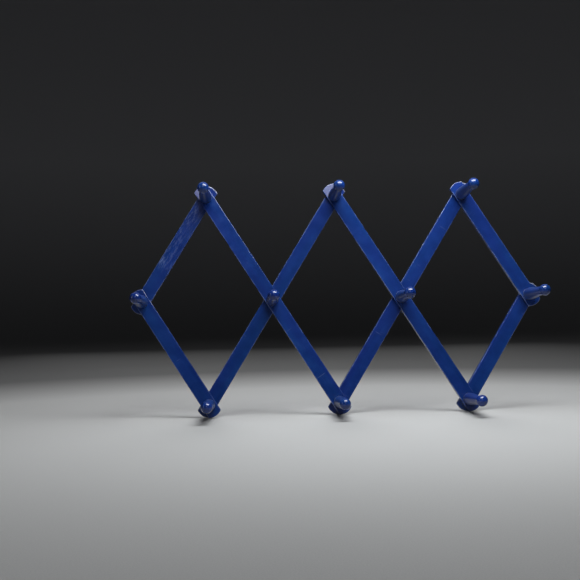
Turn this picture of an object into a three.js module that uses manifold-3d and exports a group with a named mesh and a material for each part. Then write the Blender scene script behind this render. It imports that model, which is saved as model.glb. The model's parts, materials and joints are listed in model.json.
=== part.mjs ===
// Expanding wall rack. Eight flat wooden slats cross in three diamonds and turn on ten turned
// pegs, like a pantograph. Each peg has a shoulder, and a tenon that passes through both slats.
// A washer and a screw in the end of the tenon hold the slats on from behind.
//
// Millimetres, +Z up. The wall is the plane y = 0, and the pegs point along -Y. The origin is on
// the wall, behind the lower middle peg.
import * as THREE from 'three';
import { mergeVertices } from 'three/addons/utils/BufferGeometryUtils.js';
import Module from 'manifold-3d';

const wasm = await Module();
wasm.setup();

// ---- Driving dimensions ------------------------------------------------------------------

const SLAT_ANGLE = THREE.MathUtils.degToRad(58); // slat to the horizontal, as the rack stands
const PITCH = 161; // between neighbouring pivots on a slat
const GAP = 0.3; // between pieces that touch, and all round a tenon

const SLAT = {
  width: 19,
  thickness: 6.4,
  overhang: 16.4, // from the last pivot to the tip
  endRise: 3.1, // height of the shallow arc that ends a slat
  arris: 0.7, // eased edge
};

const PEG = {
  length: 75.2, // from the shoulder to the tip of the head
  headRadius: 7.3,
  neckRadius: 5.5,
  tenonRadius: 4.7,
  // Distance from the shoulder and radius, up to the neck. The stock is 16 mm dowel.
  barrel: [
    [0, 7.4], // rounded rim that rests on the slat
    [0.9, 8],
    [5, 8],
    [19, 7.5],
    [34, 6.5],
    [47, 5.7],
    [58, 5.5],
  ],
};

const SCREW = {
  shankRadius: 1.6,
  shankLength: 16,
  tipLength: 3,
  headRadius: 3.6,
  headHeight: 2,
  // Rounded edge of the head, round its flat: distance from the wall and radius.
  headEdge: [
    [0, 2.7],
    [0.5, 3.3],
    [1.2, 3.6],
  ],
  recessWidth: 1.1,
  recessLength: 4.4,
  recessDepth: 1.2,
};

const WASHER = { outerRadius: 6.2, innerRadius: 2, thickness: 1 };

// ---- Layers, from the wall outwards --------------------------------------------------------

const WASHER_BACK = SCREW.headHeight + GAP;
const BACK_SLAT = WASHER_BACK + WASHER.thickness + GAP; // its face towards the wall
const FRONT_SLAT = BACK_SLAT + SLAT.thickness + GAP;
const SHOULDER = FRONT_SLAT + SLAT.thickness + GAP;

// ---- Pivots --------------------------------------------------------------------------------

const HALF_WIDTH = PITCH * Math.cos(SLAT_ANGLE); // of one diamond
const HALF_HEIGHT = PITCH * Math.sin(SLAT_ANGLE);

// Pivots stand in three rows. The middle row is half a diamond out of step with the others.
const pivot = (column, row) => new THREE.Vector2(column * HALF_WIDTH, row * HALF_HEIGHT);

const PIVOTS = {
  low_1: pivot(-2, 0),
  low_2: pivot(0, 0),
  low_3: pivot(2, 0),
  mid_1: pivot(-3, 1),
  mid_2: pivot(-1, 1),
  mid_3: pivot(1, 1),
  mid_4: pivot(3, 1),
  top_1: pivot(-2, 2),
  top_2: pivot(0, 2),
  top_3: pivot(2, 2),
};

// Slats of the front layer fall to the right, and those of the back layer rise to the right.
const FRONT_SLATS = {
  front_slat_1: ['mid_1', 'low_1'],
  front_slat_2: ['top_1', 'mid_2', 'low_2'],
  front_slat_3: ['top_2', 'mid_3', 'low_3'],
  front_slat_4: ['top_3', 'mid_4'],
};
const BACK_SLATS = {
  back_slat_1: ['mid_1', 'top_1'],
  back_slat_2: ['low_1', 'mid_2', 'top_2'],
  back_slat_3: ['low_2', 'mid_3', 'top_3'],
  back_slat_4: ['low_3', 'mid_4'],
};

// ---- Materials -----------------------------------------------------------------------------

const bluePaint = (name) =>
  new THREE.MeshStandardMaterial({ name, color: 0x14297c, roughness: 0.25, metalness: 0 });
const steel = (name) =>
  new THREE.MeshStandardMaterial({ name, color: 0xb9bcc0, roughness: 0.35, metalness: 1 });

// ---- Geometry helpers ----------------------------------------------------------------------

// A turned piece. Each point is [distance from the wall, radius], and the axis becomes -Y.
function turned(points, sides) {
  const profile = points.map(([depth, radius]) => new THREE.Vector2(radius, depth));
  // Lathe faces point out when the profile runs up the lathe's axis.
  const geometry = new THREE.LatheGeometry(profile, sides);
  geometry.rotateX(Math.PI);
  return geometry;
}

// Points [depth, radius] of a ball, from the circle where its neck joins it to its tip.
function ballPoints(centre, radius, neckRadius, steps) {
  const start = Math.asin(neckRadius / radius);
  const points = Array.from({ length: steps }, (_, i) => {
    const angle = start + ((Math.PI - start) * i) / steps;
    return [centre - radius * Math.cos(angle), radius * Math.sin(angle)];
  });
  return [...points, [centre + radius, 0]];
}

function toManifold(geometry) {
  const bare = geometry.clone();
  bare.deleteAttribute('normal');
  bare.deleteAttribute('uv');
  const merged = mergeVertices(bare, 1e-4);
  const vertProperties = new Float32Array(merged.attributes.position.array);
  const triVerts = new Uint32Array(merged.index.array);
  return new wasm.Manifold(new wasm.Mesh({ numProp: 3, vertProperties, triVerts }));
}

function fromManifold(solid) {
  const mesh = solid.getMesh();
  const geometry = new THREE.BufferGeometry();
  geometry.setAttribute('position', new THREE.BufferAttribute(mesh.vertProperties, 3));
  geometry.setIndex(new THREE.BufferAttribute(mesh.triVerts, 1));
  geometry.computeVertexNormals();
  return geometry;
}

// ---- Slat ----------------------------------------------------------------------------------

const HOLE_SIDES = 16;
const END_SEGMENTS = 5;
// The flats of the hole's polygon keep the gap, not only its corners.
const HOLE_RADIUS = (PEG.tenonRadius + GAP) / Math.cos(Math.PI / HOLE_SIDES);

// A flat strip along +X with its first pivot at x = 0, drilled at every pivot.
function slatGeometry(pivotCount) {
  const length = (pivotCount - 1) * PITCH;
  const half = SLAT.width / 2;
  const tip = SLAT.overhang;
  const corner = tip - SLAT.endRise;
  // Circle through both corners of an end and its tip.
  const endRadius = (half * half + SLAT.endRise ** 2) / (2 * SLAT.endRise);
  const sweep = Math.asin(half / endRadius);
  const endCentre = length + tip - endRadius;

  const outline = new THREE.Shape();
  outline.moveTo(-corner, -half);
  outline.lineTo(length + corner, -half);
  outline.absarc(endCentre, 0, endRadius, -sweep, sweep, false);
  outline.lineTo(-corner, half);
  outline.absarc(length - endCentre, 0, endRadius, Math.PI - sweep, Math.PI + sweep, false);

  for (let i = 0; i < pivotCount; i += 1) {
    const hole = new THREE.Path();
    const corners = Array.from({ length: HOLE_SIDES }, (_, k) => {
      const angle = (-2 * Math.PI * k) / HOLE_SIDES;
      return new THREE.Vector2(
        i * PITCH + HOLE_RADIUS * Math.cos(angle),
        HOLE_RADIUS * Math.sin(angle),
      );
    });
    hole.setFromPoints(corners);
    outline.holes.push(hole);
  }

  const geometry = new THREE.ExtrudeGeometry(outline, {
    depth: SLAT.thickness - 2 * SLAT.arris,
    curveSegments: END_SEGMENTS,
    bevelEnabled: true,
    bevelThickness: SLAT.arris,
    bevelSize: SLAT.arris,
    bevelOffset: -SLAT.arris,
    bevelSegments: 1,
  });
  // The bevel starts below z = 0. Its back face goes to y = 0, and the thickness runs along -Y.
  geometry.translate(0, 0, SLAT.arris);
  geometry.rotateX(Math.PI / 2);
  return geometry;
}

function slatMesh(name, stops, depth) {
  const first = PIVOTS[stops[0]];
  const last = PIVOTS[stops[stops.length - 1]];
  const mesh = new THREE.Mesh(slatGeometry(stops.length), bluePaint(name));
  mesh.name = name;
  mesh.position.set(first.x, -depth, first.y);
  mesh.rotation.y = -Math.atan2(last.y - first.y, last.x - first.x);
  return mesh;
}

// ---- Peg -----------------------------------------------------------------------------------

const PEG_SIDES = 16;
const HEAD_STEPS = 7;

function pegGeometry() {
  const headCentre = SHOULDER + PEG.length - PEG.headRadius;
  const pilotRadius = SCREW.shankRadius + GAP;
  const pilotBottom = SCREW.headHeight + SCREW.shankLength + GAP;
  return turned(
    [
      [pilotBottom, 0],
      [pilotBottom, pilotRadius],
      [BACK_SLAT, pilotRadius],
      [BACK_SLAT, PEG.tenonRadius],
      [SHOULDER, PEG.tenonRadius],
      ...PEG.barrel.map(([along, radius]) => [SHOULDER + along, radius]),
      ...ballPoints(headCentre, PEG.headRadius, PEG.neckRadius, HEAD_STEPS),
    ],
    PEG_SIDES,
  );
}

// ---- Screw and washer ----------------------------------------------------------------------

const SCREW_SIDES = 12;
const WASHER_SIDES = 16;

function screwGeometry() {
  const shankEnd = SCREW.headHeight + SCREW.shankLength - SCREW.tipLength;
  const body = turned(
    [
      [0, 0],
      ...SCREW.headEdge,
      [SCREW.headHeight, SCREW.headRadius],
      [SCREW.headHeight, SCREW.shankRadius],
      [shankEnd, SCREW.shankRadius],
      [shankEnd + SCREW.tipLength, 0],
    ],
    SCREW_SIDES,
  );
  // Cross recess, open at the back of the head.
  const arm = new THREE.BoxGeometry(SCREW.recessLength, 2 * SCREW.recessDepth, SCREW.recessWidth);
  const across = toManifold(arm);
  const upright = toManifold(arm.clone().rotateY(Math.PI / 2));
  return fromManifold(toManifold(body).subtract(across.add(upright)));
}

function washerGeometry() {
  const front = WASHER_BACK + WASHER.thickness;
  return turned(
    [
      [WASHER_BACK, WASHER.innerRadius],
      [WASHER_BACK, WASHER.outerRadius],
      [front, WASHER.outerRadius],
      [front, WASHER.innerRadius],
      [WASHER_BACK, WASHER.innerRadius],
    ],
    WASHER_SIDES,
  );
}

// ---- Assembly ------------------------------------------------------------------------------

const rack = new THREE.Group();

for (const [name, stops] of Object.entries(BACK_SLATS)) {
  rack.add(slatMesh(name, stops, BACK_SLAT));
}
for (const [name, stops] of Object.entries(FRONT_SLATS)) {
  rack.add(slatMesh(name, stops, FRONT_SLAT));
}

for (const [place, at] of Object.entries(PIVOTS)) {
  const joint = new THREE.Group();
  joint.position.set(at.x, 0, at.y);

  const peg = new THREE.Mesh(pegGeometry(), bluePaint(`peg_${place}`));
  peg.name = `peg_${place}`;
  const screw = new THREE.Mesh(screwGeometry(), steel(`screw_${place}`));
  screw.name = `screw_${place}`;
  const washer = new THREE.Mesh(washerGeometry(), steel(`washer_${place}`));
  washer.name = `washer_${place}`;

  joint.add(peg, screw, washer);
  rack.add(joint);
}

export default rack;
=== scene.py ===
"""Looks of the accordion peg rack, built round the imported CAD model. Metres, in the row frame."""

import json
import math
import random

import bmesh
import bpy
from mathutils import Matrix, Vector, noise
from mathutils.geometry import delaunay_2d_cdt

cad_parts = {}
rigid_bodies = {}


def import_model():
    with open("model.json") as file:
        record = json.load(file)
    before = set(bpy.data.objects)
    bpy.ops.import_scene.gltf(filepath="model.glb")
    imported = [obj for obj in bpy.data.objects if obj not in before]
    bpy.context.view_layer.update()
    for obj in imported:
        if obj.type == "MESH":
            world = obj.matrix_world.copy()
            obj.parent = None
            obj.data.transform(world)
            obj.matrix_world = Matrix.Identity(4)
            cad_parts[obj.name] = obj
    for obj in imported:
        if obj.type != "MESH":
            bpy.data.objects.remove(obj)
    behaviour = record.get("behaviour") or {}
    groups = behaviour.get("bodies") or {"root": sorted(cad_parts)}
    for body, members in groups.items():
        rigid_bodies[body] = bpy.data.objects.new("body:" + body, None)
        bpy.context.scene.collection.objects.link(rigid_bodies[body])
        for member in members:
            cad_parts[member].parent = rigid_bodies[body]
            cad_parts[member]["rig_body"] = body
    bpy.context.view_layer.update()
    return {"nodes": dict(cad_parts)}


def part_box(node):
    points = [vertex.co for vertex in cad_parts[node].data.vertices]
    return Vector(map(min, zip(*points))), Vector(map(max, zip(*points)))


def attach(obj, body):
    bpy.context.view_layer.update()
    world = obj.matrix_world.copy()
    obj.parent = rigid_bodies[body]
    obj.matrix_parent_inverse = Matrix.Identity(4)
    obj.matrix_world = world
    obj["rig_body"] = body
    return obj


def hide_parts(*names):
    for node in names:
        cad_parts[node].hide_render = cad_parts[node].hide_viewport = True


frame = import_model()

MM = 0.001
FULL_TURN = 2 * math.pi
QUARTER_TURN = math.pi / 2

# ---- Places, from the frame ----------------------------------------------------------------

PLACES = ["low_1", "low_2", "low_3", "mid_1", "mid_2", "mid_3", "mid_4", "top_1", "top_2", "top_3"]
SLATS = {
    "front_slat_1": ["mid_1", "low_1"],
    "front_slat_2": ["top_1", "mid_2", "low_2"],
    "front_slat_3": ["top_2", "mid_3", "low_3"],
    "front_slat_4": ["top_3", "mid_4"],
    "back_slat_1": ["mid_1", "top_1"],
    "back_slat_2": ["low_1", "mid_2", "top_2"],
    "back_slat_3": ["low_2", "mid_3", "top_3"],
    "back_slat_4": ["low_3", "mid_4"],
}


def centre_of(node):
    low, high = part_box(node)
    return (low + high) / 2


def body_of(node):
    return frame["nodes"][node]["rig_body"]


PIVOT = {}
for place in PLACES:
    middle = centre_of(f"peg_{place}")
    PIVOT[place] = Vector((middle.x, 0, middle.z))

PITCH = (PIVOT["mid_2"] - PIVOT["low_2"]).length
RACK_CENTRE = (PIVOT["top_2"] + PIVOT["low_2"]) / 2

# Depths along Y, all below zero because the wall is at zero.
SCREW_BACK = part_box("screw_low_2")[1].y
WASHER_FRONT, WASHER_BACK = (corner.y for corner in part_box("washer_low_2"))
BACK_SLAT_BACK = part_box("back_slat_2")[1].y
FRONT_SLAT_FRONT, FRONT_SLAT_BACK = (corner.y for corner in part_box("front_slat_2"))
PEG_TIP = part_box("peg_low_2")[0].y

# ---- Sizes that the CAD model also has -----------------------------------------------------

SLAT_WIDTH = 19 * MM
SLAT_THICKNESS = FRONT_SLAT_BACK - FRONT_SLAT_FRONT
SLAT_OVERHANG = 16.4 * MM
END_RISE = 3.1 * MM
END_ARC_RADIUS = ((SLAT_WIDTH / 2) ** 2 + END_RISE**2) / (2 * END_RISE)
HOLE_RADIUS = 5 * MM
GAP = 0.3 * MM

HEAD_RADIUS = 7.3 * MM
NECK_RADIUS = 5.5 * MM
SHOULDER_RADIUS = 8 * MM
TENON_RADIUS = 4.7 * MM
PILOT_RADIUS = 1.9 * MM
PILOT_DEPTH = 18.3 * MM  # from the backs of the screws

SCREW_HEAD_RADIUS = 3.6 * MM
SCREW_HEAD_HEIGHT = 2 * MM
SCREW_LENGTH = 18 * MM
SCREW_RADIUS = 1.6 * MM
WASHER_RADIUS = 6.2 * MM

# ---- Sizes of the finish -------------------------------------------------------------------

CORNER_RADIUS = 1.0 * MM  # of a slat's corners, seen from the front
EDGE_RADIUS = 0.65 * MM  # of the round between a slat's faces and its edges
EDGE_STEPS = 4
EDGE_SUPPORT = 0.2 * MM  # narrow flat band beside a round, which keeps the flat's shading level
SANDED_FROM = 1.5 * MM  # past the first pivot
SANDED_EASE = 1 * MM  # over which the sanding starts
SANDED_SLOPE = math.radians(4)

SLAT_POINT_SPACING = 2.2 * MM
SLAT_FACE_SPACING = 4 * MM
HOLE_SIDES = 36
TURNED_SIDES = 48
SCREW_SIDES = 32


# ---- Mesh helpers --------------------------------------------------------------------------


def new_object(name, data, matrix=None):
    """An object of the scene that shows a mesh, a lamp or a camera."""
    piece = bpy.data.objects.new(name, data)
    bpy.context.scene.collection.objects.link(piece)
    if matrix is not None:
        piece.matrix_world = matrix
    return piece


def finish_mesh(bm, name, smooth_angle=40):
    """A mesh whose edges look sharp where they turn by more than the smooth angle, in degrees."""
    bmesh.ops.remove_doubles(bm, verts=bm.verts, dist=0.002 * MM)
    bmesh.ops.recalc_face_normals(bm, faces=bm.faces)
    mesh = bpy.data.meshes.new(name)
    bm.to_mesh(mesh)
    bm.free()
    mesh.shade_smooth()
    mesh.set_sharp_from_angle(angle=math.radians(smooth_angle))
    return mesh


def arc(centre, radius, start, end, steps):
    """Points and outward normals along a circle, from angle start to angle end."""
    out = []
    for i in range(steps + 1):
        angle = start + (end - start) * i / steps
        normal = Vector((math.cos(angle), math.sin(angle)))
        out.append((Vector(centre) + normal * radius, normal))
    return out


def straight(start, end, normal, spacing):
    """Points and normals between two corners, without the corners themselves."""
    steps = max(2, round((end - start).length / spacing))
    return [(start.lerp(end, i / steps), normal) for i in range(1, steps)]


def ring_round_y(bm, y, radii):
    """Points round the local Y axis at even angles, one for each radius."""
    ring = []
    for k, radius in enumerate(radii):
        angle = FULL_TURN * k / len(radii)
        ring.append(bm.verts.new((radius * math.cos(angle), y, radius * math.sin(angle))))
    return ring


def stitch(bm, rings):
    """Faces between each ring and the next. A ring of one point closes an end."""
    for a, b in zip(rings, rings[1:]):
        for k in range(max(len(a), len(b))):
            corners = [a[k % len(a)], a[(k + 1) % len(a)], b[(k + 1) % len(b)], b[k % len(b)]]
            bm.faces.new(list(dict.fromkeys(corners)))


def turned(name, profile, wobble=None):
    """A piece turned about the local Y axis. The profile is [(y, radius)]: it ends on the axis or
    closes on itself. wobble gives what is added to the radius, from y, the angle and the radius."""
    bm = bmesh.new()
    rings = []
    for y, radius in profile:
        if radius == 0:
            rings.append([bm.verts.new((0, y, 0))])
            continue
        radii = [radius] * TURNED_SIDES
        if wobble:
            angles = [FULL_TURN * k / TURNED_SIDES for k in range(TURNED_SIDES)]
            radii = [radius + wobble(y, angle, radius) for angle in angles]
        rings.append(ring_round_y(bm, y, radii))
    stitch(bm, rings)
    return finish_mesh(bm, name)


# ---- Slats ---------------------------------------------------------------------------------


def slat_outline(length):
    """Outline with rounded corners, anticlockwise: [(point, outward normal)]."""
    half = SLAT_WIDTH / 2
    end_centre = length + SLAT_OVERHANG - END_ARC_RADIUS
    corner_z = half - CORNER_RADIUS
    reach = END_ARC_RADIUS - CORNER_RADIUS
    corner_x = end_centre + math.sqrt(reach**2 - corner_z**2)
    turn = math.atan2(corner_z, corner_x - end_centre)
    corner_steps = 5
    tip_steps = 18

    lower = arc((corner_x, -corner_z), CORNER_RADIUS, -QUARTER_TURN, -turn, corner_steps)
    tip = arc((end_centre, 0), END_ARC_RADIUS, -turn, turn, tip_steps)[1:-1]
    upper = arc((corner_x, corner_z), CORNER_RADIUS, turn, QUARTER_TURN, corner_steps)
    last_end = lower + tip + upper
    first_end = [(Vector((length - p.x, -p.y)), -n) for p, n in last_end]
    lower_edge = straight(first_end[-1][0], last_end[0][0], Vector((0, -1)), SLAT_POINT_SPACING)
    upper_edge = straight(last_end[-1][0], first_end[0][0], Vector((0, 1)), SLAT_POINT_SPACING)
    return lower_edge + last_end + upper_edge + first_end


def hand_worked(loop, length, rng):
    """Gives the outline a slight waviness and its long edges a few dents, as old painted strip has."""
    wave_height = 0.09 * MM
    waves_along = 28  # in a metre
    waves_across = 90
    dent_spacing = 45 * MM
    seed = rng.uniform(0, 100)
    dents = []
    for _ in range(round(length / dent_spacing)):
        x = rng.uniform(0, length)
        side = rng.choice((-1, 1))
        depth = rng.uniform(0.1, 0.35) * MM
        size = rng.uniform(1.2, 3.2) * MM
        dents.append((x, side, depth, size))
    out = []
    for point, normal in loop:
        shift = wave_height * noise.noise(Vector((point.x * waves_along, point.y * waves_across, seed)))
        for x, side, depth, size in dents:
            # Only where the normal points straight out of that long edge.
            if side * normal.y > 0.9:
                shift -= depth * math.exp(-(((point.x - x) / size) ** 2))
        out.append((point + normal * shift, normal))
    return out


def sand_end(bm):
    """Lets the front face fall away towards the slat's first end, as sanding leaves it."""
    for v in bm.verts:
        past = -v.co.x - SANDED_FROM
        if v.co.z > 0 and past > 0:
            v.co.z -= math.tan(SANDED_SLOPE) * past * past / (past + SANDED_EASE)


def slat_mesh(name, holes, sanded, rng):
    """A slat along local X from its first pivot. Local Y is its thickness, centred on zero."""
    length = holes[-1]
    loops = [hand_worked(slat_outline(length), length, rng)]
    for x in holes:
        ring = arc((x, 0), HOLE_RADIUS, FULL_TURN, 0, HOLE_SIDES)[:-1]
        loops.append([(p, -n) for p, n in ring])

    half = SLAT_THICKNESS / 2
    # Offset along the outline's normal, and height, from one face round the edge to the other.
    section = [(-EDGE_RADIUS - EDGE_SUPPORT, half)]
    for i in range(EDGE_STEPS + 1):
        turn = QUARTER_TURN * i / EDGE_STEPS
        section.append((-EDGE_RADIUS * (1 - math.sin(turn)), half - EDGE_RADIUS * (1 - math.cos(turn))))
    section += [(offset, -height) for offset, height in reversed(section)]

    bm = bmesh.new()
    face_loops = ([], [])
    for loop in loops:
        rings = []
        for offset, height in section:
            ring = [bm.verts.new((*(p + n * offset), height)) for p, n in loop]
            rings.append(ring)
        stitch(bm, rings)
        face_loops[0].append(rings[0])
        face_loops[1].append(rings[-1])

    for rings in face_loops:
        fill_face(bm, rings, holes)

    if sanded:
        sand_end(bm)
    # The outline was drawn in X and Y: stand it in X and Z, with its thickness along Y.
    bmesh.ops.rotate(bm, verts=bm.verts, matrix=Matrix.Rotation(QUARTER_TURN, 3, "X"))
    return finish_mesh(bm, name)


def fill_face(bm, rings, holes):
    """Triangles between an outline, which is the first ring, and the rims of its holes. Loose points
    are put between them, so that no triangle is long."""
    verts = [v for ring in rings for v in ring]
    height = verts[0].co.z
    edges = []
    start = 0
    for ring in rings:
        count = len(ring)
        edges += [(start + k, start + (k + 1) % count) for k in range(count)]
        start += count

    length = holes[-1]
    columns = round((length + 2 * SLAT_OVERHANG) / SLAT_FACE_SPACING)
    half = SLAT_WIDTH / 2 - EDGE_RADIUS - 2 * EDGE_SUPPORT
    clear_of_hole = HOLE_RADIUS + EDGE_RADIUS + 2 * EDGE_SUPPORT
    clear_of_end = 2 * END_RISE
    for i in range(1, columns):
        x = -SLAT_OVERHANG + (length + 2 * SLAT_OVERHANG) * i / columns
        past_end = x < -SLAT_OVERHANG + clear_of_end or x > length + SLAT_OVERHANG - clear_of_end
        for row in (-0.6, 0, 0.6):
            y = row * half
            near_hole = any(math.hypot(x - hole, y) < clear_of_hole for hole in holes)
            if not past_end and not near_hole:
                verts.append(bm.verts.new((x, y, height)))

    flat = [Vector((v.co.x, v.co.y)) for v in verts]
    inside_the_edges = 1
    tolerance = 1e-9
    _, _, triangles, origins, _, _ = delaunay_2d_cdt(flat, edges, [], inside_the_edges, tolerance)
    hole_rims = [set(ring) for ring in rings[1:]]
    for triangle in triangles:
        corners = [verts[origins[k][0]] for k in triangle]
        # A triangle with all its corners on one hole's rim lies in the hole.
        in_hole = any(rim.issuperset(corners) for rim in hole_rims)
        if len(set(corners)) == 3 and not in_hole:
            bm.faces.new(corners)


# ---- Pegs ----------------------------------------------------------------------------------


def peg_radius(along):
    """Radius of the barrel, from the shoulder to the neck."""
    taper_start = 4 * MM
    taper_end = 58 * MM
    t = min(1, max(0, (along - taper_start) / (taper_end - taper_start)))
    eased = t * t * (3 - 2 * t)
    return SHOULDER_RADIUS + (NECK_RADIUS - SHOULDER_RADIUS) * eased


def peg_profile():
    """[(y, radius)] from the bottom of the screw's pilot hole, round the tenon, to the tip."""
    shoulder = FRONT_SLAT_FRONT - GAP
    tenon_end = BACK_SLAT_BACK
    tenon_chamfer = 0.4 * MM
    pilot_bottom = SCREW_BACK - PILOT_DEPTH
    rim = 1.1 * MM  # radius of the round where the shoulder meets the barrel
    rim_steps = 5
    head_centre = PEG_TIP + HEAD_RADIUS
    blend = 0.5 * MM

    points = [
        (pilot_bottom, 0),
        (pilot_bottom, PILOT_RADIUS),
        (tenon_end, PILOT_RADIUS),
        (tenon_end, TENON_RADIUS - tenon_chamfer),
        (tenon_end - tenon_chamfer, TENON_RADIUS),
        (shoulder, TENON_RADIUS),
        (shoulder, SHOULDER_RADIUS - rim - EDGE_SUPPORT),
    ]
    for i in range(rim_steps + 1):
        turn = QUARTER_TURN * i / rim_steps
        points.append((shoulder - rim * (1 - math.cos(turn)), SHOULDER_RADIUS - rim * (1 - math.sin(turn))))
    # Barrel and neck, up to where the ball begins.
    start = shoulder - 2 * MM
    end = head_centre + HEAD_RADIUS * 0.9
    steps = 22
    for i in range(steps + 1):
        y = start + (end - start) * i / steps
        points.append((y, peg_radius(shoulder - y)))
    # Ball, melting into the neck where the paint fills the corner. It starts a little before the
    # circle where ball and neck would meet.
    meeting = math.asin(NECK_RADIUS / HEAD_RADIUS)
    first = meeting * 0.8
    for i in range(steps):
        angle = first + (math.pi - first) * i / steps
        y = head_centre + HEAD_RADIUS * math.cos(angle)
        ball = HEAD_RADIUS * math.sin(angle)
        if angle < QUARTER_TURN:
            # A smooth form of whichever is wider, the ball or the neck.
            ball = (ball + NECK_RADIUS + math.sqrt((ball - NECK_RADIUS) ** 2 + blend**2)) / 2
        points.append((y, ball))
    return [*points, (head_centre - HEAD_RADIUS, 0)]


def peg_mesh(name, rng):
    """A peg that isn't perfectly round in front of the slats. Its tenon and its very tip are."""
    seed = rng.uniform(0, 100)
    front = FRONT_SLAT_FRONT - 2 * GAP
    unevenness = 0.02 * MM
    waves_along = 25  # in a metre
    tip_radius = 1 * MM

    def wobble(y, angle, radius):
        if y > front or radius < tip_radius:
            return 0
        spot = Vector((math.cos(angle), math.sin(angle), y * waves_along + seed))
        return unevenness * noise.noise(spot)

    return turned(name, peg_profile(), wobble)


# ---- Fasteners -----------------------------------------------------------------------------


def washer_mesh(name):
    """A stamped washer, with a rounder edge at the back than at the front."""
    outer = WASHER_RADIUS
    bore = 2.1 * MM
    ease = 0.18 * MM
    back = WASHER_BACK
    front = WASHER_FRONT
    profile = [
        (back, bore + ease),
        (back, outer - 2 * ease),
        (back - ease * 0.6, outer - ease * 0.6),
        (back - 2 * ease, outer),
        (front + ease, outer),
        (front, outer - ease),
        (front, bore + ease),
        (front + ease, bore),
        (back - ease, bore),
        (back, bore + ease),
    ]
    return turned(name, profile)


def screw_head_profile(shank_end):
    """[(y, radius)] round the dome of the head and along the plain shank to its end."""
    dome_height = 0.62 * SCREW_HEAD_HEIGHT
    dome_steps = 7
    fullness = 0.75  # below 1, the dome is flatter in the middle and rounder at its edge
    points = []
    for i in range(1, dome_steps + 1):
        turn = QUARTER_TURN * i / dome_steps
        radius = SCREW_HEAD_RADIUS * math.sin(turn) ** fullness
        points.append((SCREW_BACK - dome_height * (1 - math.cos(turn)), radius))
    head_front = SCREW_BACK - SCREW_HEAD_HEIGHT
    return [*points, (head_front, SCREW_HEAD_RADIUS), (head_front, SCREW_RADIUS), (shank_end, SCREW_RADIUS)]


def screw_blank(name):
    """A screw without its recess: pan head, plain shank, and a wood thread that tapers to a point."""
    core = 1.05 * MM
    thread_pitch = 1.3 * MM
    rings_per_pitch = 5
    ridge_half_width = 0.28  # of the thread's pitch
    point_length = 3.5 * MM
    thread_start = SCREW_BACK - 5 * MM
    tip = SCREW_BACK - SCREW_LENGTH

    bm = bmesh.new()
    rings = [[bm.verts.new((0, SCREW_BACK, 0))]]
    for y, radius in screw_head_profile(thread_start):
        rings.append(ring_round_y(bm, y, [radius] * SCREW_SIDES))
    steps = round((thread_start - tip) / thread_pitch * rings_per_pitch)
    for i in range(1, steps):
        y = thread_start + (tip - thread_start) * i / steps
        taper = min(1, (y - tip) / point_length)
        radii = []
        for k in range(SCREW_SIDES):
            phase = ((thread_start - y) / thread_pitch - k / SCREW_SIDES) % 1
            ridge = max(0, 1 - abs(phase - 0.5) / ridge_half_width)
            radii.append((core + (SCREW_RADIUS - core) * ridge) * taper)
        rings.append(ring_round_y(bm, y, radii))
    rings.append([bm.verts.new((0, tip, 0))])
    stitch(bm, rings)
    return finish_mesh(bm, name)


def recess_cutter(name):
    """Two crossed wedges that reach as far out of the head as into it, and narrow on the way in."""
    reach = 1.3 * MM
    outer_size = (4.4 * MM, 1.375 * MM)  # length and width of the end outside the head
    inner_size = (1.98 * MM, 0.77 * MM)
    bm = bmesh.new()
    for turn in (0, QUARTER_TURN):
        made = bmesh.ops.create_cube(bm, size=1)["verts"]
        for v in made:
            length, width = outer_size if v.co.y > 0 else inner_size
            v.co = Vector((v.co.x * length, SCREW_BACK + v.co.y * 2 * reach, v.co.z * width))
        bmesh.ops.rotate(bm, verts=made, matrix=Matrix.Rotation(turn, 3, "Y"))
    return finish_mesh(bm, name)


def screw_mesh(name):
    """Pan head with a cross recess, and a tapering wood thread."""
    solid = new_object(name + "_blank", screw_blank(name + "_blank"))
    cutter = new_object(name + "_cutter", recess_cutter(name + "_cutter"))
    cut = solid.modifiers.new("recess", "BOOLEAN")
    cut.object = cutter
    cut.operation = "DIFFERENCE"
    cut.solver = "EXACT"
    cut.use_self = True
    evaluated = solid.evaluated_get(bpy.context.evaluated_depsgraph_get())
    mesh = bpy.data.meshes.new_from_object(evaluated)
    mesh.name = name
    for scrap in (solid, cutter):
        bpy.data.objects.remove(scrap)
    return mesh


# ---- Materials -----------------------------------------------------------------------------


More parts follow.
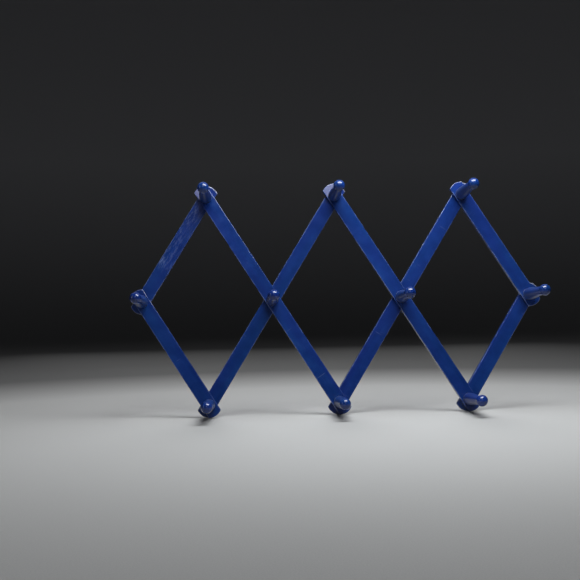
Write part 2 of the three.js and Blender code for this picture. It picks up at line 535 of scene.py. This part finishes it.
class Nodes:
    """Short way to add and link shader nodes."""

    def __init__(self, name):
        self.material = bpy.data.materials.new(name)
        self.material.use_nodes = True
        self.tree = self.material.node_tree
        self.shader = self.tree.nodes["Principled BSDF"]

    def add(self, kind, **settings):
        """A new node of a kind, with its own settings."""
        node = self.tree.nodes.new(kind)
        for key, value in settings.items():
            setattr(node, key, value)
        return node

    def link(self, source, target):
        self.tree.links.new(source, target)

    def coordinates(self, stretch, shift=0):
        """Object coordinates, stretched by a factor for each axis."""
        place = self.add("ShaderNodeTexCoord")
        mapping = self.add("ShaderNodeMapping")
        mapping.inputs["Scale"].default_value = stretch
        # A different shift along each axis, so that no two pieces have the same marks.
        mapping.inputs["Location"].default_value = (shift, shift * 0.7, shift * 1.3)
        self.link(place.outputs["Object"], mapping.inputs["Vector"])
        return mapping.outputs["Vector"]

    def noise(self, vector, scale, detail=3, roughness=0.5):
        """Clouds from 0 to 1, finer as the scale grows: it is per metre."""
        node = self.add("ShaderNodeTexNoise")
        node.inputs["Scale"].default_value = scale
        node.inputs["Detail"].default_value = detail
        node.inputs["Roughness"].default_value = roughness
        self.link(vector, node.inputs["Vector"])
        return node.outputs["Fac"]

    def ramp(self, value, stops):
        """The value turned into others. stops is [(position, value or colour)]."""
        node = self.add("ShaderNodeValToRGB")
        elements = node.color_ramp.elements
        while len(elements) < len(stops):
            elements.new(0.5)
        for element, (position, colour) in zip(elements, stops):
            element.position = position
            if not isinstance(colour, tuple):
                colour = (colour, colour, colour)
            element.color = (*colour, 1)
        self.link(value, node.inputs["Fac"])
        return node.outputs["Color"]

    def axes(self):
        """Object coordinates as three values."""
        place = self.add("ShaderNodeTexCoord")
        split = self.add("ShaderNodeSeparateXYZ")
        self.link(place.outputs["Object"], split.inputs[0])
        return split.outputs

    def maths(self, operation, a, b=None, clamp=False):
        """A sum on two sockets or numbers. clamp keeps it from 0 to 1."""
        node = self.add("ShaderNodeMath", operation=operation, use_clamp=clamp)
        for socket, value in zip(node.inputs, (a, b)):
            if value is None:
                continue
            if isinstance(value, (int, float)):
                socket.default_value = value
            else:
                self.link(value, socket)
        return node.outputs[0]

    def mix(self, factor, a, b):
        """Colour a where the factor is 0, and colour b where it is 1."""
        node = self.add("ShaderNodeMix", data_type="RGBA")
        # The colour mix has its factor, A, B and result at these places.
        for socket, value in ((node.inputs[0], factor), (node.inputs[6], a), (node.inputs[7], b)):
            if isinstance(value, tuple):
                socket.default_value = (*value, 1)
            elif isinstance(value, (int, float)):
                socket.default_value = value
            else:
                self.link(value, socket)
        return node.outputs[2]

    def bump(self, height, distance, strength=1.0, normal=None):
        """Relief as deep as the distance, on top of a normal that another bump may have made."""
        node = self.add("ShaderNodeBump")
        node.inputs["Strength"].default_value = strength
        node.inputs["Distance"].default_value = distance
        self.link(height, node.inputs["Height"])
        if normal is not None:
            self.link(normal, node.inputs["Normal"])
        return node.outputs["Normal"]


# Dark, middle and light tones of the paint, where it leans to violet and where it leans to green.
TONE_STOPS = (0.3, 0.5, 0.72)
VIOLET_BLUES = ((0.0036, 0.0133, 0.092), (0.005, 0.0197, 0.128), (0.0073, 0.029, 0.172))
GREEN_BLUES = ((0.0024, 0.0157, 0.087), (0.0034, 0.0235, 0.12), (0.005, 0.0355, 0.158))
# Pale blue of worn paint; on the slats' left-facing long edges it is also a painted highlight.
WORN_AND_HIGHLIT_BLUE = (0.13, 0.18, 0.36)
# Pale lilac grey: on the slats' ends a painted highlight over their wear, strongest at the upper ends; on
# the pegs a pale ring by the slat.
PALE_LILAC_GREY = (0.42, 0.45, 0.54)

# Factors for X, Y and Z. Marks are drawn out along the axis whose factor is small.
EVEN = (1, 1, 1)
ALONG_SLAT = (0.12, 1, 1)
ACROSS_SLAT = (1, 1, 0.1)
ALONG_PEG = (1, 0.35, 1)
EDGE_BAND_WIDTH = 1.1 * MM  # of a slat's edges
RIM_WIDTH = 3.5 * MM  # of the pale ring at the peg's end by the slat


def blue_enamel(n, stretch, seed, brushed, coat, dullness):
    """Gloss enamel, with brush marks drawn out by the stretch. dullness is its least and its greatest
    roughness. Returns its colour and roughness sockets."""
    brush_depth = 0.02 * MM
    peel_depth = 0.004 * MM
    streak_at = n.coordinates(stretch, seed)
    even_at = n.coordinates(EVEN, seed)
    streaks = n.noise(streak_at, 55, 4, 0.6)
    clouds = n.noise(even_at, 60, 4, 0.6)
    tone = n.maths("ADD", n.maths("MULTIPLY", streaks, 0.5), n.maths("MULTIPLY", clouds, 0.5))
    violet = n.ramp(tone, list(zip(TONE_STOPS, VIOLET_BLUES)))
    green = n.ramp(tone, list(zip(TONE_STOPS, GREEN_BLUES)))
    leaning = n.ramp(n.noise(streak_at, 38, 3, 0.55), [(0.36, 0.0), (0.64, 1.0)])
    colour = n.mix(leaning, violet, green)
    gloss = n.ramp(n.noise(even_at, 60, 3, 0.6), [(0.3, dullness[0]), (0.7, dullness[1])])

    brush = n.bump(streaks, brush_depth, brushed)
    peel = n.bump(n.noise(even_at, 420, 2, 0.5), peel_depth, brushed, brush)
    n.link(peel, n.shader.inputs["Normal"])
    n.shader.inputs["IOR"].default_value = 1.5
    n.shader.inputs["Coat Weight"].default_value = coat
    n.shader.inputs["Coat Roughness"].default_value = 0.06
    return colour, gloss


def finish_paint(n, colour, gloss, worn):
    """Where worn is 1 the enamel has gone dull."""
    duller = n.maths("MULTIPLY", worn, 0.3)
    n.link(colour, n.shader.inputs["Base Color"])
    n.link(n.maths("ADD", gloss, duller, clamp=True), n.shader.inputs["Roughness"])
    return n.material


def slat_edges(n, length, top_first, seed):
    """Two masks, for a slat's long edges and for its ends: worn in places, and partly a painted highlight
    where the light catches them. The upper end is painted the palest, as a painted highlight from the light
    above.
    """
    x, y, z = n.axes()
    across = n.maths("ABSOLUTE", z)
    deep = n.maths("ABSOLUTE", y)
    from_middle = n.maths("ABSOLUTE", n.maths("SUBTRACT", x, length / 2))
    # Distance from the centre of the shallow arc that ends the slat.
    arc_centre = length / 2 + SLAT_OVERHANG - END_ARC_RADIUS
    past = n.maths("MAXIMUM", n.maths("SUBTRACT", from_middle, arc_centre), 0)
    squares = n.maths("ADD", n.maths("MULTIPLY", past, past), n.maths("MULTIPLY", across, across))
    reach = n.maths("SQRT", squares)

    def near(value, limit):
        """1 where the value comes to its limit, and 0 from the edge band's width before it."""
        inside = n.maths("SUBTRACT", limit, value)
        return n.maths("SUBTRACT", 1, n.maths("DIVIDE", inside, EDGE_BAND_WIDTH), clamp=True)

    arris = near(deep, SLAT_THICKNESS / 2)
    long_edge = n.maths("SQRT", n.maths("MULTIPLY", near(across, SLAT_WIDTH / 2), arris))
    end_edge = n.maths("SQRT", n.maths("MULTIPLY", near(reach, END_ARC_RADIUS), arris))
    rubbing = n.noise(n.coordinates((0.4, 1, 1), seed), 160, 4, 0.7)
    long_edge = n.maths("MULTIPLY", long_edge, n.ramp(rubbing, [(0.38, 0.0), (0.6, 1.0)]))
    # The long edge that faces left is painted paler, a painted highlight where it catches the light, over
    # its wear. It is the upper one on a slat that rises to the right.
    upper_side = n.ramp(n.maths("ADD", n.maths("DIVIDE", z, SLAT_WIDTH), 0.5), [(0.4, 0.0), (0.6, 1.0)])
    lower, upper = (1.0, 0.45) if top_first else (0.45, 1.0)
    long_edge = n.maths("MULTIPLY", long_edge, n.ramp(upper_side, [(0.0, lower), (1.0, upper)]))
    end_edge = n.maths("MULTIPLY", end_edge, n.ramp(rubbing, [(0.3, 0.25), (0.5, 1.0)]))
    # The upper end is painted paler than the lower: a painted highlight, as the light from above catches
    # the upper ends.
    along = n.maths("DIVIDE", x, length)
    first, last = (1.0, 0.15) if top_first else (0.15, 1.0)
    return long_edge, n.maths("MULTIPLY", end_edge, n.ramp(along, [(0.2, first), (0.8, last)]))


def scuffed_zone(n):
    """1 over the stretch of back_slat_1 that has been scuffed, towards its upper edge."""
    x, _, z = n.axes()
    along = n.maths("DIVIDE", x, PITCH)
    across = n.maths("DIVIDE", z, SLAT_WIDTH)
    lengthwise = n.ramp(along, [(0.26, 0.0), (0.36, 1.0), (0.5, 0.6), (0.86, 1.0), (0.95, 0.0)])
    sideways = n.ramp(n.maths("ADD", across, 0.5), [(0.05, 0.2), (0.8, 1.0)])
    return n.maths("MULTIPLY", lengthwise, sideways)


def slat_paint(node, length, top_first, seed):
    """Enamel with scuffs along the slat, a few nicks across it, and edges and ends that are worn and also
    painted paler as a painted highlight.
    """
    n = Nodes("paint_" + node)
    colour, gloss = blue_enamel(n, ALONG_SLAT, seed, brushed=0.6, coat=0.3, dullness=(0.1, 0.19))

    scratch = n.noise(n.coordinates((0.2, 1, 1), seed), 300, 5, 0.75)
    if node == "back_slat_1":
        strength = scuffed_zone(n)
        marks = n.ramp(scratch, [(0.5, 0.0), (0.6, 1.0)])
    else:
        strength = n.ramp(n.noise(n.coordinates(EVEN, seed), 30, 2, 0.5), [(0.6, 0.0), (0.75, 0.35)])
        marks = n.ramp(scratch, [(0.56, 0.0), (0.66, 1.0)])
    scuffs = n.maths("MULTIPLY", n.maths("MULTIPLY", marks, strength), 0.42)

    nicks = n.ramp(n.noise(n.coordinates(ACROSS_SLAT, seed + 5), 420, 2, 0.4), [(0.66, 0.0), (0.69, 1.0)])
    knocked = n.ramp(n.noise(n.coordinates(EVEN, seed + 2), 22, 2, 0.5), [(0.6, 0.0), (0.68, 1.0)])
    nicks = n.maths("MULTIPLY", n.maths("MULTIPLY", nicks, knocked), 0.4)

    long_edge, end_edge = slat_edges(n, length, top_first, seed)
    # worn holds the scuffs, the nicks, and the long edges, whose paler paint is partly a painted highlight.
    worn = n.maths("MAXIMUM", n.maths("MAXIMUM", scuffs, nicks), n.maths("MULTIPLY", long_edge, 0.7))
    # The ends are painted pale lilac grey: their wear, and a painted highlight that is strongest at the
    # upper end.
    ends_worn_and_highlit = n.maths("MULTIPLY", end_edge, 0.6)
    colour = n.mix(ends_worn_and_highlit, n.mix(worn, colour, WORN_AND_HIGHLIT_BLUE), PALE_LILAC_GREY)
    return finish_paint(n, colour, gloss, n.maths("MAXIMUM", worn, ends_worn_and_highlit))


def peg_paint(node, seed):
    """Enamel with a glossy ball, a duller barrel, faint scratches, and a pale ring by the slat."""
    n = Nodes("paint_" + node)
    colour, gloss = blue_enamel(n, ALONG_PEG, seed, brushed=0.06, coat=0, dullness=(0.08, 0.12))

    patches = n.noise(n.coordinates(EVEN, seed), 60, 2, 0.5)
    scratch = n.noise(n.coordinates(ALONG_PEG, seed), 260, 4, 0.7)
    scratched = n.ramp(patches, [(0.6, 0.0), (0.7, 1.0)])
    worn = n.maths("MULTIPLY", n.ramp(scratch, [(0.58, 0.0), (0.68, 0.25)]), scratched)

    _, y, _ = n.axes()
    from_slat = n.maths("SUBTRACT", FRONT_SLAT_FRONT, y)
    # The barrel is duller than the ball.
    reach = n.maths("DIVIDE", from_slat, FRONT_SLAT_FRONT - PEG_TIP)
    gloss = n.maths("ADD", gloss, n.ramp(reach, [(0.76, 0.26), (0.84, 0.0)]))
    # A pale ring next to the slat, broken by patches.
    rim = n.ramp(n.maths("DIVIDE", from_slat, RIM_WIDTH), [(0.4, 1.0), (0.9, 0.0)])
    pale_ring = n.maths("MULTIPLY", rim, n.ramp(patches, [(0.35, 0.1), (0.6, 0.7)]))
    colour = n.mix(pale_ring, n.mix(worn, colour, WORN_AND_HIGHLIT_BLUE), PALE_LILAC_GREY)
    return finish_paint(n, colour, gloss, n.maths("MAXIMUM", worn, pale_ring))


def zinc(name, tint, seed):
    """Zinc plate that has dulled, with fine marks."""
    n = Nodes(name)
    at = n.coordinates(EVEN, seed)
    dull = n.noise(at, 420, 4, 0.65)
    stain = n.noise(at, 130, 3, 0.5)
    stained = tuple(0.55 * channel for channel in tint)
    colour = n.ramp(stain, [(0.3, stained), (0.6, tint)])
    n.link(colour, n.shader.inputs["Base Color"])
    n.link(n.ramp(dull, [(0.3, 0.25), (0.7, 0.5)]), n.shader.inputs["Roughness"])
    n.link(n.bump(dull, 0.02 * MM, 0.6), n.shader.inputs["Normal"])
    n.shader.inputs["Metallic"].default_value = 1
    return n.material


# ---- Pieces --------------------------------------------------------------------------------


def stand_for(piece, node, material):
    """Paints a piece and lets it take the place of a CAD node, on that node's body."""
    piece.data.materials.clear()
    piece.data.materials.append(material)
    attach(piece, body_of(node))
    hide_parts(node)


SLAT_SEED = 100
PEG_SEED = 300
INTO_THE_WALL = Vector((0, 1, 0))

for number, (node, stops) in enumerate(SLATS.items()):
    rng = random.Random(SLAT_SEED + number)
    first = PIVOT[stops[0]]
    last = PIVOT[stops[-1]]
    along = (last - first).normalized()
    place = Matrix((along, INTO_THE_WALL, along.cross(INTO_THE_WALL))).transposed().to_4x4()
    place.translation = Vector((first.x, centre_of(node).y, first.z))
    holes = [i * PITCH for i in range(len(stops))]
    layer = node.split("_")[0]
    mesh = slat_mesh("painted_" + node, holes, layer == "front", rng)
    piece = new_object("painted_" + node, mesh, place)
    paint = slat_paint(node, holes[-1], first.z > last.z, number * 3.7)
    stand_for(piece, node, paint)

washer = washer_mesh("zinc_washer")
screw = screw_mesh("zinc_screw")
washer_metal = zinc("washer_zinc", (0.62, 0.62, 0.63), 3)
screw_metal = zinc("screw_zinc", (0.60, 0.56, 0.46), 9)
for number, place in enumerate(PLACES):
    rng = random.Random(PEG_SEED + number)
    for kind in ("peg", "washer", "screw"):
        spin = Matrix.Rotation(rng.uniform(0, FULL_TURN), 4, "Y")
        at = Matrix.Translation(PIVOT[place]) @ spin
        node = f"{kind}_{place}"
        if kind == "peg":
            mesh = peg_mesh("painted_" + node, rng)
            piece = new_object("painted_" + node, mesh, at)
            stand_for(piece, node, peg_paint(node, 40 + number * 2.3))
        else:
            mesh = (washer if kind == "washer" else screw).copy()
            piece = new_object("zinc_" + node, mesh, at)
            metal = washer_metal if kind == "washer" else screw_metal
            stand_for(piece, node, metal)

# ---- Studio --------------------------------------------------------------------------------

# The rack leans back a little on the floor that it stands on, so the floor slopes in its frame.
LEAN = math.radians(4)
FLOOR_TOUCH = Vector((0, BACK_SLAT_BACK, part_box("front_slat_2")[0].z))


def studio_floor():
    """A round floor that curves up into a wall far behind every view."""
    flat = 2.6
    sweep = 1.4
    wall_height = 4.5
    sides = 64
    steps = 12
    # Radius and height. The rings inside the flat keep its shading level.
    profile = [(0.4, 0), (1.2, 0), (flat, 0)]
    for i in range(1, steps + 1):
        turn = QUARTER_TURN * i / steps
        profile.append((flat + sweep * math.sin(turn), sweep * (1 - math.cos(turn))))
    profile.append((flat + sweep, wall_height))
    bm = bmesh.new()
    rings = [[bm.verts.new((0, 0, 0))]]
    for radius, height in profile:
        circle = arc((0, 0), radius, 0, FULL_TURN, sides)[:-1]
        rings.append([bm.verts.new((*point, height)) for point, _ in circle])
    stitch(bm, rings)
    mesh = finish_mesh(bm, "floor", smooth_angle=80)
    if mesh.polygons[0].normal.z < 0:
        mesh.flip_normals()
    slope = Matrix.Rotation(LEAN, 4, "X")
    floor = new_object("floor", mesh, Matrix.Translation(FLOOR_TOUCH) @ slope)
    mesh.materials.append(floor_paper())


def floor_paper():
    """Pale round the rack, dark from there to the foot of the far wall, and paler again up the wall."""
    n = Nodes("floor_paper")
    at = n.coordinates(EVEN)
    pale = n.ramp(n.noise(at, 900, 3, 0.6), [(0.3, (0.27, 0.27, 0.27)), (0.7, (0.31, 0.31, 0.305))])
    pale_centre = (0, -0.45, 0)  # in front of the rack, in the floor's own frame
    away = n.add("ShaderNodeVectorMath", operation="DISTANCE")
    n.link(at, away.inputs[0])
    away.inputs[1].default_value = pale_centre
    half_distance = n.maths("DIVIDE", away.outputs["Value"], 2)
    beyond = n.ramp(half_distance, [(0.42, 0.0), (0.62, 1.0)])
    _, _, height = n.axes()
    dark = n.ramp(height, [(0.0, (0.09, 0.09, 0.09)), (0.9, (0.35, 0.35, 0.36))])
    n.link(n.mix(beyond, pale, dark), n.shader.inputs["Base Color"])
    n.shader.inputs["Roughness"].default_value = 0.9
    return n.material


def softbox(name, azimuth, elevation, distance, size, power, colour=(1, 1, 1), aside=0):
    """An area light that faces the rack's centre, or a point aside of it. Azimuth 0 is in front."""
    a = math.radians(azimuth)
    e = math.radians(elevation)
    back = Vector((math.sin(a) * math.cos(e), -math.cos(a) * math.cos(e), math.sin(e)))
    data = bpy.data.lights.new(name, "AREA")
    data.shape = "RECTANGLE"
    data.size, data.size_y = size
    data.energy = power
    data.color = colour
    lamp = new_object(name, data)
    lamp.location = RACK_CENTRE + Vector((aside, 0, 0)) + back * distance
    lamp.rotation_euler = (-back).to_track_quat("-Z", "Y").to_euler()
    lamp.visible_camera = False
    return lamp


studio_floor()
# The first numbers are azimuth, elevation and distance.
softbox("key", 2, 60, 0.57, size=(0.57, 0.27), power=8.4, colour=(0.95, 0.98, 1.0), aside=0.1)
softbox("front_panel", -3.7, 23, 2.5, size=(0.7, 0.37), power=4, colour=(1.0, 0.97, 1.0))
softbox("left_strip", -68, 12, 1.3, size=(0.15, 0.9), power=1.3, colour=(0.95, 0.97, 1.0))
softbox("back_top", 180, 60, 1.6, size=(2.4, 1.0), power=3)
# Lights the back without a reflection in the paint.
back_fill = softbox("back_fill", 180, 16, 2.0, size=(1.6, 0.7), power=12)
back_fill.data.spread = math.radians(60)
back_fill.visible_glossy = False

world = bpy.data.worlds.new("studio")
world.use_nodes = True
sky = world.node_tree.nodes["Background"]
sky.inputs["Color"].default_value = (0.9, 0.93, 1.0, 1)
sky.inputs["Strength"].default_value = 0.045
bpy.context.scene.world = world

# ---- Camera --------------------------------------------------------------------------------

VIEW_AZIMUTH = math.radians(-2.53)
VIEW_ELEVATION = math.radians(-4.56)
VIEW_ROLL = math.radians(1.35)
VIEW_DISTANCE = 1.23
VIEW_LENS = 58
SENSOR_WIDTH = 36
# The picture's centre lies left of the rack's own centre and a little above it.
AIM_LEFT = 61.9 * MM
AIM_UP = 11.6 * MM
AIM = Vector((RACK_CENTRE.x - AIM_LEFT, FRONT_SLAT_FRONT, RACK_CENTRE.z + AIM_UP))

camera_data = bpy.data.cameras.new("camera")
camera_data.lens = VIEW_LENS
camera_data.sensor_width = SENSOR_WIDTH
camera_data.clip_start = 0.01
camera_data.clip_end = 50
camera = new_object("camera", camera_data)
away = Vector((
    math.sin(VIEW_AZIMUTH) * math.cos(VIEW_ELEVATION),
    -math.cos(VIEW_AZIMUTH) * math.cos(VIEW_ELEVATION),
    math.sin(VIEW_ELEVATION),
))
camera.location = AIM + away * VIEW_DISTANCE
facing = (-away).to_track_quat("-Z", "Y").to_matrix().to_4x4()
camera.matrix_world = Matrix.Translation(camera.location) @ facing @ Matrix.Rotation(-VIEW_ROLL, 4, "Z")
bpy.context.scene.camera = camera
bpy.context.scene.view_settings.view_transform = "Standard"
